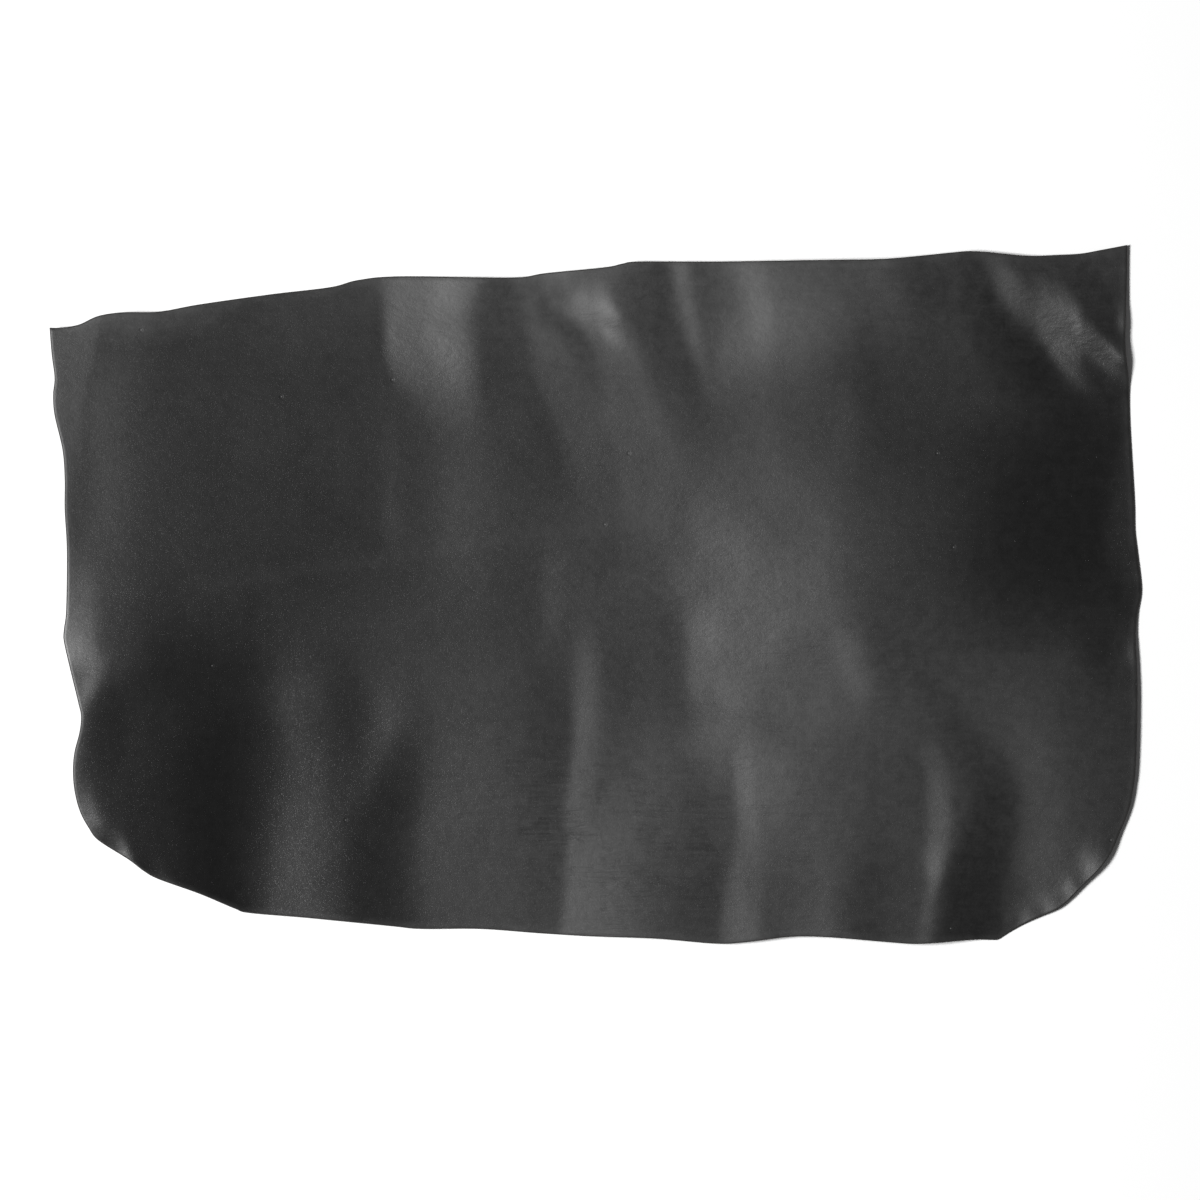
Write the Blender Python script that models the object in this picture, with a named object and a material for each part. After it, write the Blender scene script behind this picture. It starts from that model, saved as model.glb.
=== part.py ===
# A black vegetable-tanned double butt of cattle leather, laid out grain side up on a flat surface.
# X runs along the hide, Y across it and Z up, with the origin on the surface under its middle.
# Sizes are in millimetres, and become metres where the mesh is made.

from collections import namedtuple

import bmesh
import bpy
import numpy as np
from mathutils import Vector

MM = 0.001

# Driving sizes
THICKNESS = 3.0
HALF_LENGTH = 750.0
LIE_HEIGHT = 7.2        # how high the hide would lie, between its folds, above its lowest places
LEFT_CURL = 14.0        # how much the left end stands higher than that
RIGHT_DROOP = 3.0       # how much the right end hangs lower
SETTLE = 1.2            # how softly the leather meets the surface it rests on

# Steps of the mesh
OUTLINE_STEP = 15.0
COLUMN_STEP = 18.0
ROW_STEP = 46.0
SNAP = 0.6              # points this near a cut line are moved onto it

# The outline, in four edges. Each one starts at a corner and ends where the next one starts.
TOP_EDGE = [
    (-750, 366), (-735, 366), (-710, 370), (-683, 382), (-649, 387), (-600, 388), (-545, 398),
    (-448, 412), (-366, 422), (-327, 432), (-270, 437), (-118, 435), (-70, 441), (12, 449),
    (36, 454), (60, 457), (170, 457), (322, 459), (390, 460), (439, 464), (487, 469),
    (521, 471), (590, 465), (631, 466), (665, 468), (693, 473),
]
RIGHT_EDGE = [
    (730, 480), (729, 418), (727, 343), (732, 295), (734, 233), (740, 130), (741, 88),
    (745, 54), (750, 6), (744, -28), (742, -63), (744, -132), (742, -228), (738, -269),
    (732, -297), (720, -327), (707, -356), (690, -379), (665, -404), (638, -430),
    (597, -449), (573, -462),
]
BOTTOM_EDGE = [
    (551, -475), (514, -475), (446, -480), (404, -478), (335, -472), (294, -470), (260, -471),
    (205, -478), (164, -480), (81, -473), (-8, -470), (-77, -466), (-160, -460), (-242, -460),
    (-283, -456), (-393, -445), (-476, -438), (-496, -432), (-545, -411), (-600, -391),
    (-620, -380), (-641, -364), (-682, -338), (-696, -320), (-708, -297), (-715, -269),
]
LEFT_EDGE = [
    (-717, -242), (-715, -217), (-708, -189), (-706, -167), (-710, -148), (-729, -70),
    (-730, -49), (-727, -22), (-726, 60), (-729, 116), (-729, 157), (-732, 198), (-743, 246),
    (-745, 274), (-743, 297), (-747, 329),
]

# One flank of a fold: the leather climbs by rise over width, from left to right of the line that
# runs from top to foot, or falls where rise is below zero. It bends in and out over left_bend and
# right_bend, and comes back to its lie at reach from the line. build_up and die_out are the shares
# of the line's length over which it starts and ends, and are zero where it runs off the edge.
Flank = namedtuple("Flank", "name top foot width rise left_bend right_bend build_up die_out reach")

FLANKS = [
    Flank("left_edge_strip", (-715, 405), (-720, 170), 56, 2.5, 21, 11, 0, 0.4, 150),
    Flank("left_edge_lift", (-705, 100), (-715, -200), 60, 8, 16, 16, 0.45, 0.4, 150),
    Flank("left_slope", (-470, 430), (-475, -145), 360, -12, 80, 28, 0, 0.4, 580),
    Flank("top_a_face", (-243, 475), (-213, 195), 120, 14.5, 3, 14, 0, 0.55, 450),
    Flank("top_a_back", (-135, 475), (-120, 200), 56, -4, 19, 19, 0, 0.5, 220),
    Flank("top_b_face", (-115, 455), (5, 155), 30, 2.6, 14, 19, 0.3, 0.5, 120),
    Flank("top_c_face", (-50, 500), (115, 155), 64, 8.5, 16, 19, 0.35, 0.5, 330),
    Flank("top_c_knuckle", (-40, 445), (30, 340), 42, 4, 11, 11, 0.45, 0.45, 80),
    Flank("top_c_back", (60, 455), (100, 265), 46, -3, 19, 19, 0, 0.5, 160),
    Flank("top_d_face", (115, 475), (145, 275), 20, 3, 7, 7, 0, 0.5, 80),
    Flank("top_e_face", (200, 475), (215, 200), 72, 10, 12, 19, 0, 0.6, 360),
    Flank("top_e_lobe", (285, 475), (290, 270), 120, 11, 28, 33, 0.35, 0.5, 280),
    Flank("top_e_foot", (175, 405), (180, 210), 32, 2.6, 12, 19, 0.4, 0.5, 110),
    Flank("top_f_back", (460, 475), (485, 240), 140, -4, 55, 55, 0, 0.4, 280),
    Flank("corner_groove", (500, 485), (670, 190), 30, -4, 19, 8, 0.3, 0.4, 160),
    Flank("corner_face_a", (535, 460), (690, 235), 42, 6.5, 8, 14, 0.3, 0.4, 130),
    Flank("corner_face_b", (590, 465), (745, 275), 32, 5, 8, 7, 0.35, 0.3, 100),
    Flank("corner_back", (670, 455), (750, 345), 42, -3.5, 14, 28, 0.1, 0, 100),
    Flank("right_fall", (645, 385), (655, -130), 290, -28, 100, 50, 0.3, 0.25, 600),
    Flank("middle_face", (205, 225), (262, -350), 230, 20, 19, 34, 0.3, 0.3, 660),
    Flank("middle_left_lip", (160, 45), (160, -330), 64, 3.6, 11, 28, 0.4, 0.35, 150),
    Flank("middle_right_lip", (345, -35), (370, -160), 42, 3.5, 16, 11, 0.4, 0.4, 110),
    Flank("rump_fall", (-575, 5), (-560, -505), 260, -33, 34, 34, 0.2, 0, 450),
    Flank("rump_low_fall", (-515, -175), (-505, -505), 80, -4, 34, 34, 0.4, 0, 180),
    Flank("bottom_a_face", (-395, -10), (-400, -505), 90, 3, 19, 25, 0.5, 0, 210),
    Flank("bottom_a_knee", (-280, -90), (-310, -270), 50, 3, 19, 14, 0.4, 0.3, 120),
    Flank("bottom_a_back", (-255, -145), (-295, -505), 66, -9, 22, 19, 0.4, 0, 210),
    Flank("bottom_b_face", (-155, 45), (-155, -505), 165, 8.5, 25, 41, 0.3, 0, 360),
    Flank("bottom_c_face", (30, -10), (0, -505), 120, 11, 6, 55, 0.3, 0, 360),
    Flank("bottom_c_lip", (-20, -10), (-30, -325), 16, 0.8, 7, 11, 0.4, 0.4, 60),
    Flank("bottom_d_back", (150, -215), (130, -505), 80, -4, 34, 16, 0.3, 0, 210),
    Flank("bottom_d_face", (210, -160), (200, -505), 20, 2.6, 7, 11, 0.3, 0.5, 100),
    Flank("bottom_e_face", (240, -130), (270, -505), 74, 6.5, 16, 34, 0.25, 0.4, 210),
    Flank("bottom_f_back", (380, -200), (370, -505), 80, -3.5, 34, 28, 0.4, 0, 180),
    Flank("bottom_g_face", (480, -185), (450, -505), 24, 3.6, 16, 6, 0.3, 0, 120),
    Flank("bottom_g_back", (545, -175), (512, -515), 76, -14, 11, 22, 0.3, 0, 280),
    Flank("bottom_h_face", (610, -120), (615, -460), 64, 5, 19, 28, 0.3, 0.2, 210),
]


def ease(share):
    # A soft step from 0 to 1.
    share = np.clip(share, 0, 1)
    return share * share * (3 - 2 * share)


def flank_height(flank, x, y):
    # Height that one flank adds at a place on the hide.
    (top_x, top_y), (foot_x, foot_y) = flank.top, flank.foot
    length = np.hypot(foot_x - top_x, foot_y - top_y)
    along_x = (foot_x - top_x) / length
    along_y = (foot_y - top_y) / length
    along = ((x - top_x) * along_x + (y - top_y) * along_y) / length
    aside = (y - top_y) * along_x - (x - top_x) * along_y

    half = flank.width / 2
    left = np.hypot(aside + half, flank.left_bend)
    right = np.hypot(aside - half, flank.right_bend)
    height = flank.rise / 2 * (left - right) / flank.width
    height = height * ease(1 - np.abs(aside) / flank.reach)
    if flank.build_up:
        height = height * ease(along / flank.build_up)
    if flank.die_out:
        height = height * ease((1 - along) / flank.die_out)
    return height


def underside(x, y):
    # Height of the hide's underside above the surface, flat on it at the low places.
    end = x / HALF_LENGTH
    height = LIE_HEIGHT + np.where(x < 0, LEFT_CURL, -RIGHT_DROOP) * end * end
    for flank in FLANKS:
        height = height + flank_height(flank, x, y)
    settled = (height + SETTLE) ** 2 / (4 * SETTLE)
    return np.where(height > SETTLE, height, np.where(height > -SETTLE, settled, 0))


def smooth_edge(before, points, after):
    # Even steps along a smooth curve through one edge's points, without its last point.
    knots = np.array([before] + points + [after[0], after[1]], dtype=float)
    curve = []
    for start, first, last, end in zip(knots, knots[1:], knots[2:], knots[3:]):
        count = max(1, round(np.linalg.norm(last - first) / OUTLINE_STEP))
        for step in range(count):
            t = step / count
            lean = (last - start) * t + (2 * start - 5 * first + 4 * last - end) * t * t
            lean = lean + (3 * first - start - 3 * last + end) * t ** 3
            curve.append(first + lean / 2)
    return curve


def hide_outline():
    # The four edges one after another. The ends of the top edge are square-cut corners.
    top_start, top_end = TOP_EDGE[0], RIGHT_EDGE[0]
    bottom_start = BOTTOM_EDGE[0]
    curve = smooth_edge(top_start, TOP_EDGE, [top_end, top_end])
    curve += smooth_edge(top_end, RIGHT_EDGE, [bottom_start, bottom_start])
    curve += smooth_edge(bottom_start, BOTTOM_EDGE, LEFT_EDGE[:2])
    curve += smooth_edge(BOTTOM_EDGE[-1], LEFT_EDGE, [top_start, top_start])
    return curve


def cut_in_strips(mesh, axis, step):
    # Cuts the flat hide along evenly spaced lines, so that it can bend there.
    reach = int(HALF_LENGTH / step)
    normal = Vector((0, 0, 0))
    normal[axis] = 1
    for place in range(-reach, reach + 1):
        parts = mesh.verts[:] + mesh.edges[:] + mesh.faces[:]
        point = normal * (place + 0.5) * step * MM
        bmesh.ops.bisect_plane(mesh, geom=parts, dist=SNAP * MM, plane_co=point, plane_no=normal)


def leather_material():
    leather = bpy.data.materials.new("black_leather")
    leather.use_nodes = True
    shader = leather.node_tree.nodes["Principled BSDF"]
    shader.inputs["Base Color"].default_value = (0.012, 0.012, 0.012, 1)
    shader.inputs["Roughness"].default_value = 0.4
    shader.inputs["Metallic"].default_value = 0
    return leather


def make_hide():
    mesh = bmesh.new()
    rim = [mesh.verts.new((x * MM, y * MM, 0)) for x, y in hide_outline()]
    mesh.faces.new(rim)
    cut_in_strips(mesh, 0, COLUMN_STEP)
    cut_in_strips(mesh, 1, ROW_STEP)
    bmesh.ops.triangulate(mesh, faces=mesh.faces[:])
    bmesh.ops.recalc_face_normals(mesh, faces=mesh.faces[:])
    if mesh.faces[0].normal.z < 0:
        bmesh.ops.reverse_faces(mesh, faces=mesh.faces[:])
    for vert in mesh.verts:
        vert.co.z = float(underside(vert.co.x / MM, vert.co.y / MM)) * MM

    data = bpy.data.meshes.new("hide")
    mesh.to_mesh(data)
    mesh.free()
    data.materials.append(leather_material())
    data.shade_smooth()
    hide = bpy.data.objects.new("hide", data)
    bpy.context.collection.objects.link(hide)

    solid = hide.modifiers.new("thickness", "SOLIDIFY")
    solid.thickness = THICKNESS * MM
    solid.offset = 1
    solid.use_even_offset = True
    return hide


for old in list(bpy.data.objects):
    bpy.data.objects.remove(old, do_unlink=True)

make_hide()
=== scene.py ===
from collections import namedtuple

import bpy
import numpy as np
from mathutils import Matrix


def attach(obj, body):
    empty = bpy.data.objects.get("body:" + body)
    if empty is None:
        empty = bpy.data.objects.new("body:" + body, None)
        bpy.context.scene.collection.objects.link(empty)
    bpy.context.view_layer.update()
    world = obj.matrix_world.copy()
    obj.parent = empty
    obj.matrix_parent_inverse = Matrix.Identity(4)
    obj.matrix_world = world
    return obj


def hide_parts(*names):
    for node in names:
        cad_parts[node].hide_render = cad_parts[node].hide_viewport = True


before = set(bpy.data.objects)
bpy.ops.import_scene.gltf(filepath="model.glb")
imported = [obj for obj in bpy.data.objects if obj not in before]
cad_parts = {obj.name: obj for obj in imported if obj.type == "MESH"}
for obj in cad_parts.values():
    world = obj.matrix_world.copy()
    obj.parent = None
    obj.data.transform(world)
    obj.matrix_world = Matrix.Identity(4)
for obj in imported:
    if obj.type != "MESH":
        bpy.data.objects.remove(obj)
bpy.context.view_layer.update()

# A black vegetable-tanned double butt, laid out grain side up and seen from straight above.
# Sizes of the leather are in millimetres. X runs along the hide, Y across it and Z up.
mm = 0.001

hide = {
    "thickness": 3.0,
    "halfLength": 750.0,
    "lieHeight": 8.0,      # height of the lie, between the folds, above its lowest places
    "leftCurl": 14.0,      # the left end stands higher than that
    "rightDroop": 3.0,     # and the right end lower
    "settle": 1.2,         # how softly it meets the floor
    "columns": 340,        # faces along the hide and across it
    "rows": 138,
    "columnStep": 4.4,     # about how far apart they stand
    "rowStep": 6.8,
    "curveSteps": 12,      # steps between two points of the outline, before it is made even
    "flatArea": 1.30,      # square metres
    "flatSize": (1.5, 0.96),
    "swells": ((64, 0.16), (27, 0.05)),   # length and height of the low swells all over it
    "wander": ((70, 4.0), (32, 1.2)),     # the folds stray sideways: length and how far
    "swellSeed": 6,
    "swellKnots": 80,      # rows and columns of knots, enough for the shortest swells
    "swellAskew": 0.3,     # how far those rows stand askew to the hide
    "courseSteps": (-14, -7, 0, 7, 14),   # a fold's course is averaged over these
}

# The outline, as four edges from corner to corner, clockwise.
topEdge = [
    (-750, 366), (-735, 366), (-710, 370), (-683, 382), (-649, 387), (-600, 388), (-545, 398),
    (-448, 412), (-366, 422), (-327, 432), (-270, 437), (-118, 435), (-70, 441), (12, 449),
    (36, 454), (60, 457), (170, 457), (322, 459), (390, 460), (439, 464), (487, 469),
    (521, 471), (590, 465), (631, 466), (665, 468), (693, 473),
]
rightEdge = [
    (730, 480), (729, 418), (727, 343), (732, 295), (734, 233), (740, 130), (741, 88),
    (745, 54), (750, 6), (744, -28), (742, -63), (744, -132), (742, -228), (738, -269),
    (732, -297), (720, -327), (707, -356), (690, -379),
]
bottomEdge = [
    (665, -404), (638, -430), (597, -449), (573, -462), (560, -470), (551, -475), (540, -475),
    (514, -475), (446, -480), (404, -478), (335, -472), (294, -470), (260, -471),
    (205, -478), (164, -480), (81, -473), (-8, -470), (-77, -466), (-160, -460), (-242, -460),
    (-283, -456), (-393, -445), (-476, -438), (-496, -432), (-545, -411), (-600, -391),
    (-620, -380), (-641, -364),
]
leftEdge = [
    (-682, -338), (-696, -320), (-708, -297), (-715, -269), (-717, -242), (-715, -217),
    (-708, -189), (-706, -167), (-710, -148), (-729, -70), (-730, -49), (-727, -22), (-726, 60),
    (-729, 116), (-729, 157), (-732, 198), (-743, 246), (-745, 274), (-743, 297), (-747, 329),
]

# One flank of a fold. Along its course, given from top to foot as x, y, width and rise, the
# leather climbs by rise over width from left to right, or falls where rise is below zero. It
# bends in and out over leftBend and rightBend, and is back at its lie at reach from the course.
# The leather to its left goes down by hold times the rise, and the leather to its right goes up
# by the rest.
flank = namedtuple("flank", "name course leftBend rightBend reach hold", defaults=(0.5,))

folds = [
    # the left end
    flank("leftEdgeStrip", [(-726, 405, 88, 7.4), (-735, 330, 84, 6), (-741, 280, 84, 4.4),
        (-745, 240, 84, 3.2), (-748, 200, 84, 2.6), (-756, 120, 84, 0)], 14, 4, 190),
    flank("leftShoulder", [(-655, 390, 84, 4.2), (-662, 250, 70, 2.6), (-668, 100, 62, 1.4),
        (-680, 20, 62, 1.4), (-680, -60, 60, 0)], 16, 22, 220),
    flank("leftEdgeLift", [(-720, 70, 60, 0), (-718, 10, 60, 3.2), (-715, -30, 60, 5),
        (-714, -60, 60, 6.5), (-714, -92, 56, 7.6), (-716, -111, 50, 5.6), (-721, -130, 46, 2.6),
        (-718, -150, 40, 1.8), (-722, -172, 36, 0)], 8, 10, 260, 0.6),
    flank("leftLiftStep", [(-655, 20, 60, 0), (-655, -30, 60, 0.8), (-653, -72, 52, 1.7),
        (-655, -94, 48, 3.4), (-660, -122, 40, 0)], 12, 8, 300),
    flank("leftLiftFold", [(-675, -78, 22, 0), (-680, -94, 22, 1.8), (-687, -112, 22, 2.2),
        (-694, -132, 22, 2.2), (-704, -156, 20, 1.2), (-708, -168, 20, 0)], 5, 6, 60),
    flank("leftStreak", [(-284, 240, 22, 0), (-283, 190, 22, 0.5), (-281, 110, 22, 0.6),
        (-280, 40, 22, 0)], 7, 9, 60),
    flank("leftSlope", [(-470, 340, 340, 0), (-470, 240, 340, -5), (-470, 120, 340, -10),
        (-470, 20, 340, -11), (-475, -60, 340, -6), (-475, -150, 340, 0)], 80, 40, 580),
    # the folds that hang from the top edge
    flank("topFaceA", [(-225, 475, 148, 20), (-227, 430, 142, 19.5), (-230, 400, 128, 18),
        (-227, 350, 120, 15.6), (-224, 325, 122, 11), (-220, 300, 118, 5), (-212, 268, 104, 0)],
        3, 12, 560),
    flank("topFootA", [(-222, 350, 116, 0), (-217, 318, 116, 5.5), (-211, 290, 106, 8),
        (-202, 258, 92, 5.5), (-196, 210, 80, 0)], 24, 18, 400),
    flank("topCoreA", [(-203, 480, 60, 0.6), (-205, 410, 60, 2.0), (-207, 370, 56, 1.6),
        (-192, 310, 50, 1.8), (-186, 270, 44, 0)], 14, 10, 120),
    flank("topFaceALow", [(-205, 320, 90, 0), (-195, 270, 84, 3.5), (-182, 210, 80, 4),
        (-172, 120, 80, 3.3), (-180, 65, 86, 2.2), (-185, 20, 90, 1.5), (-190, -60, 100, 0)],
        24, 28, 300),
    flank("topBackA", [(-135, 475, 50, 0.6), (-124, 350, 46, 0.4), (-116, 300, 56, 2),
        (-110, 240, 60, 1.8), (-100, 160, 60, 0)], 14, 12, 160),
    flank("topFaceB", [(-98, 475, 34, 2.8), (-90, 400, 34, 3.6), (-66, 350, 50, 5),
        (-46, 300, 72, 6.4), (-24, 250, 76, 6), (-6, 200, 76, 4.4), (15, 130, 76, 2.2),
        (20, 80, 70, 0)], 10, 18, 220),
    flank("topFaceC", [(-12, 470, 76, 10.4), (-8, 430, 76, 10.8), (-1, 408, 82, 14),
        (-2, 392, 82, 16.6), (4, 374, 76, 14), (14, 358, 66, 11), (22, 344, 60, 9.2),
        (27, 328, 60, 8.6), (37, 295, 70, 7.8), (51, 250, 80, 7.2), (72, 200, 84, 5.2),
        (80, 130, 88, 3.2), (84, 80, 84, 1), (84, 50, 84, 0)], 10, 14, 380, 0.4),
    flank("topShoulderC", [(-60, 475, 34, 3), (-56, 424, 34, 4.2), (-48, 402, 36, 4.6),
        (-42, 388, 34, 3.6), (-32, 372, 30, 0)], 6, 8, 110),
    flank("topKnuckleA", [(-22, 434, 26, 0), (-20, 414, 26, 3.4), (-16, 396, 26, 5.4),
        (-10, 382, 24, 2.6), (-4, 366, 22, 0)], 5, 5, 60),
    flank("topKnuckleB", [(4, 434, 28, 0), (8, 418, 28, 4.4), (10, 402, 28, 4.4),
        (12, 388, 28, 6.2), (15, 374, 28, 6.8), (19, 361, 26, 3.8), (24, 346, 24, 0.8),
        (28, 334, 24, 0)], 5, 5, 70),
    flank("topLipC", [(-50, 406, 26, 0), (-42, 390, 30, 2.4), (-28, 380, 30, 2.2),
        (-18, 364, 20, 0)], 5, 6, 50),
    flank("topRiseC", [(50, 475, 44, 3.4), (50, 400, 46, 3.8), (58, 350, 44, 2), (70, 290, 46, 1),
        (90, 230, 44, 0)], 12, 14, 110),
    flank("topFaceD", [(111, 475, 30, 5.4), (114, 434, 30, 5.4), (120, 398, 28, 4.6),
        (129, 362, 26, 3.4), (139, 328, 24, 1.8), (151, 290, 26, 1), (164, 240, 26, 0)], 7, 8, 90),
    flank("topRiseD", [(152, 475, 50, 2.8), (152, 400, 50, 3.2), (158, 320, 50, 2.6),
        (164, 250, 50, 0)], 14, 12, 120),
    flank("topRiseH", [(98, 365, 40, 0), (100, 320, 40, 1.4), (108, 280, 40, 1.4),
        (120, 225, 40, 0)], 12, 12, 90),
    flank("topFaceE", [(203, 475, 52, 7.5), (206, 430, 58, 9), (208, 385, 66, 10),
        (205, 350, 70, 9.6), (203, 320, 70, 7.4), (202, 290, 70, 4), (205, 240, 80, 1.4),
        (210, 150, 90, 0.8), (210, 60, 90, 0)], 14, 22, 360),
    flank("topLobeE", [(300, 475, 190, 12.5), (288, 400, 150, 16.6), (282, 350, 140, 13),
        (270, 310, 120, 6.5), (280, 260, 120, 2.4), (290, 150, 130, 2.4), (290, 60, 130, 0)],
        34, 36, 420, 0.2),
    flank("topRippleH", [(338, 310, 40, 0), (342, 260, 40, 1.2), (346, 200, 40, 1),
        (350, 140, 40, 0)], 14, 14, 120),
    flank("topRippleF", [(395, 475, 50, 3.6), (398, 430, 50, 3), (405, 380, 50, 2.2),
        (425, 300, 46, 1.2), (430, 240, 40, 0)], 16, 18, 140),
    flank("topRippleG", [(484, 480, 46, 2.2), (488, 400, 46, 2), (498, 320, 40, 0)], 14, 14, 110),
    # the top right corner
    flank("cornerGroove", [(515, 465, 30, -1), (530, 420, 34, -3.2), (560, 370, 40, -4.4),
        (600, 320, 50, -6.2), (635, 270, 60, -5.6), (660, 210, 60, 0)], 14, 6, 170),
    flank("cornerFaceA", [(540, 470, 30, 1), (554, 440, 38, 7), (562, 424, 44, 13),
        (572, 404, 46, 13), (582, 386, 44, 10), (593, 366, 38, 5.4), (604, 342, 30, 0)],
        6, 10, 130),
    flank("cornerFaceB", [(618, 442, 40, 0), (626, 420, 58, 9), (632, 393, 62, 16.5),
        (635, 366, 60, 15.5), (639, 340, 54, 14.5), (646, 312, 44, 10.5), (660, 280, 32, 3),
        (668, 262, 30, 0)], 8, 8, 130),
    flank("cornerFaceC", [(656, 394, 20, 0), (666, 373, 26, 4), (678, 352, 32, 9),
        (688, 336, 36, 12), (699, 322, 36, 12), (708, 308, 26, 6), (718, 290, 20, 0)], 5, 4, 90),
    flank("cornerLift", [(724, 396, 24, 0), (722, 373, 24, 9.6), (725, 350, 22, 0)], 4, 4, 36, 0),
    flank("cornerHook", [(712, 342, 28, 0), (718, 326, 30, 8), (724, 312, 28, 6.4),
        (730, 298, 26, 0)], 4, 4, 50, 0),
    flank("cornerBack", [(700, 480, 50, 1.5), (718, 400, 50, 1.5), (735, 350, 44, 0),
        (750, 300, 40, 0)], 12, 16, 110),
    # the right end
    flank("rightFall", [(665, 340, 155, -5.5), (663, 270, 168, -15), (649, 180, 184, -23.5),
        (628, 60, 208, -26.5), (617, 0, 218, -19), (610, -50, 240, -10), (600, -110, 250, 0)],
        56, 36, 600, 0.58),
    flank("rightEdgeLift", [(725, 190, 50, 0), (722, 130, 50, 1.4), (728, 60, 40, 1),
        (735, 0, 40, 0)], 14, 14, 90),
    flank("rightEdgeDip", [(690, -35, 50, 0), (690, -70, 56, -4), (690, -100, 50, -3),
        (700, -150, 50, 0)], 12, 12, 90),
    flank("rightEdgeNick", [(735, -66, 12, 0), (737, -80, 12, 3), (738, -94, 12, 0)],
        4, 4, 40, 0),
    # the high middle
    flank("middleFace", [(205, 220, 240, 5), (208, 130, 250, 11), (215, 60, 250, 17),
        (222, 0, 240, 20), (228, -60, 228, 21.5), (230, -140, 226, 20.5), (235, -200, 210, 16),
        (245, -260, 180, 11), (255, -330, 170, 7), (260, -420, 170, 5)], 14, 34, 660, 0.42),
    flank("middleLeftLip", [(146, 15, 60, 0), (148, -35, 54, 2.2), (151, -62, 54, 2.8),
        (149, -86, 54, 2.2), (151, -120, 54, 2.8), (162, -165, 50, 1.2), (165, -200, 50, 0)],
        4, 25, 150),
    flank("middleStepL", [(205, -30, 60, 0), (205, -80, 60, 1), (196, -120, 60, 1.4),
        (190, -165, 56, 1.7), (187, -235, 50, 1.4), (185, -285, 50, 0)], 12, 16, 120),
    flank("middleStepR", [(255, -20, 50, 0), (256, -52, 50, 1.2), (250, -90, 50, 0.4),
        (250, -120, 50, 0)], 12, 14, 100),
    flank("middleRise", [(295, 0, 150, 0), (290, -50, 170, 4), (305, -100, 170, 6),
        (310, -150, 160, 4), (310, -210, 140, 0)], 30, 34, 360),
    flank("middleRightLip", [(338, -36, 44, 0), (348, -72, 48, 2.8), (360, -104, 52, 3.8),
        (368, -132, 46, 2.8), (374, -170, 40, 0)], 10, 8, 100),
    flank("middleHollow", [(136, 145, 88, 0), (138, 105, 88, -0.8), (144, 60, 88, -2),
        (150, 12, 88, -2.6), (158, -32, 88, 0)], 18, 16, 170),
    flank("middleHollowR", [(245, 140, 90, 0), (258, 105, 90, -2.2), (264, 72, 90, -3.2),
        (262, 40, 90, -2.4), (240, 5, 90, -1.4), (235, -30, 90, 0)], 22, 22, 180),
    flank("middleStreak", [(-60, 74, 36, 0), (-57, 45, 36, 1.2), (-60, -20, 38, 1.4),
        (-64, -75, 40, 1.1), (-70, -120, 40, 0)], 4, 14, 100),
    flank("middleDip", [(108, 178, 40, 0), (109, 150, 40, -1.1), (109, 100, 40, -1.5),
        (112, 65, 40, -1.2), (118, 30, 40, 0)], 12, 12, 90),
    # the folds that run off the bottom edge
    flank("rumpFall", [(-575, 5, 260, 0), (-575, -60, 260, -10), (-572, -120, 262, -22),
        (-570, -200, 262, -28), (-575, -300, 260, -29), (-580, -500, 250, -29)], 30, 22, 450, 0.62),
    flank("rumpShoulder", [(-672, -135, 50, 0), (-670, -165, 54, -2.6), (-670, -210, 56, -3),
        (-670, -250, 56, -1.8), (-668, -300, 56, 0)], 12, 14, 120),
    flank("rumpLowFall", [(-520, -150, 80, 0), (-525, -230, 84, -4), (-520, -330, 90, -6),
        (-515, -500, 90, -6)], 30, 30, 180, 0.8),
    flank("bottomFaceA", [(-405, -60, 70, 0), (-408, -130, 70, 1), (-410, -200, 70, 0.8),
        (-410, -300, 80, -1.6), (-408, -400, 80, -1.4), (-405, -500, 80, -1)], 22, 20, 210),
    flank("bottomBackE", [(-350, -40, 50, 0), (-350, -110, 50, -1.6), (-345, -200, 50, -1.8),
        (-350, -300, 50, -2.2), (-355, -400, 50, -2.2), (-355, -500, 50, -2.2)], 16, 16, 160),
    flank("bottomKneeA", [(-283, -105, 60, 0), (-288, -150, 50, 1.6), (-296, -190, 44, 1.8),
        (-306, -228, 40, 0)], 16, 14, 120),
    flank("bottomBackA", [(-262, -180, 30, 0), (-264, -218, 44, -2), (-273, -255, 64, -5),
        (-285, -300, 84, -8.8), (-290, -340, 92, -10.4), (-293, -400, 95, -11.2),
        (-294, -500, 98, -11.6)], 18, 22, 210),
    flank("bottomFaceB", [(-165, 10, 130, 0), (-160, -100, 130, 2.2), (-162, -200, 130, 4),
        (-176, -285, 120, 1.8), (-188, -340, 110, -0.8), (-200, -400, 100, -2.2),
        (-202, -500, 100, -2.6)], 18, 34, 300),
    flank("bottomFaceC", [(20, 40, 110, 0), (20, -40, 110, 3), (20, -150, 110, 5),
        (20, -250, 116, 8.2), (15, -330, 114, 10.2), (9, -400, 114, 10.8), (0, -500, 114, 10.8)],
        5, 44, 520, 0.32),
    flank("bottomLipC", [(-20, -40, 30, 0), (-17, -95, 38, 2.8), (-17, -200, 38, 2.4),
        (-24, -260, 32, 1.4), (-32, -335, 24, 0)], 6, 12, 90),
    flank("bottomBackD", [(140, -160, 70, 0), (142, -205, 80, 3.4), (140, -250, 76, 3),
        (142, -330, 76, 1.8), (140, -400, 84, 2), (130, -500, 90, 1.6)], 28, 14, 210),
    flank("bottomFaceD", [(208, -190, 40, 0), (206, -230, 34, 1.8), (204, -268, 26, 2.7),
        (207, -315, 28, 2.6), (208, -350, 40, 2.6), (203, -395, 56, 4.2), (200, -440, 64, 5.6),
        (199, -500, 64, 6)], 5, 12, 110),
    flank("bottomStepE", [(250, -200, 50, 0), (252, -240, 50, 1.3), (248, -275, 46, 0.9),
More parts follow.
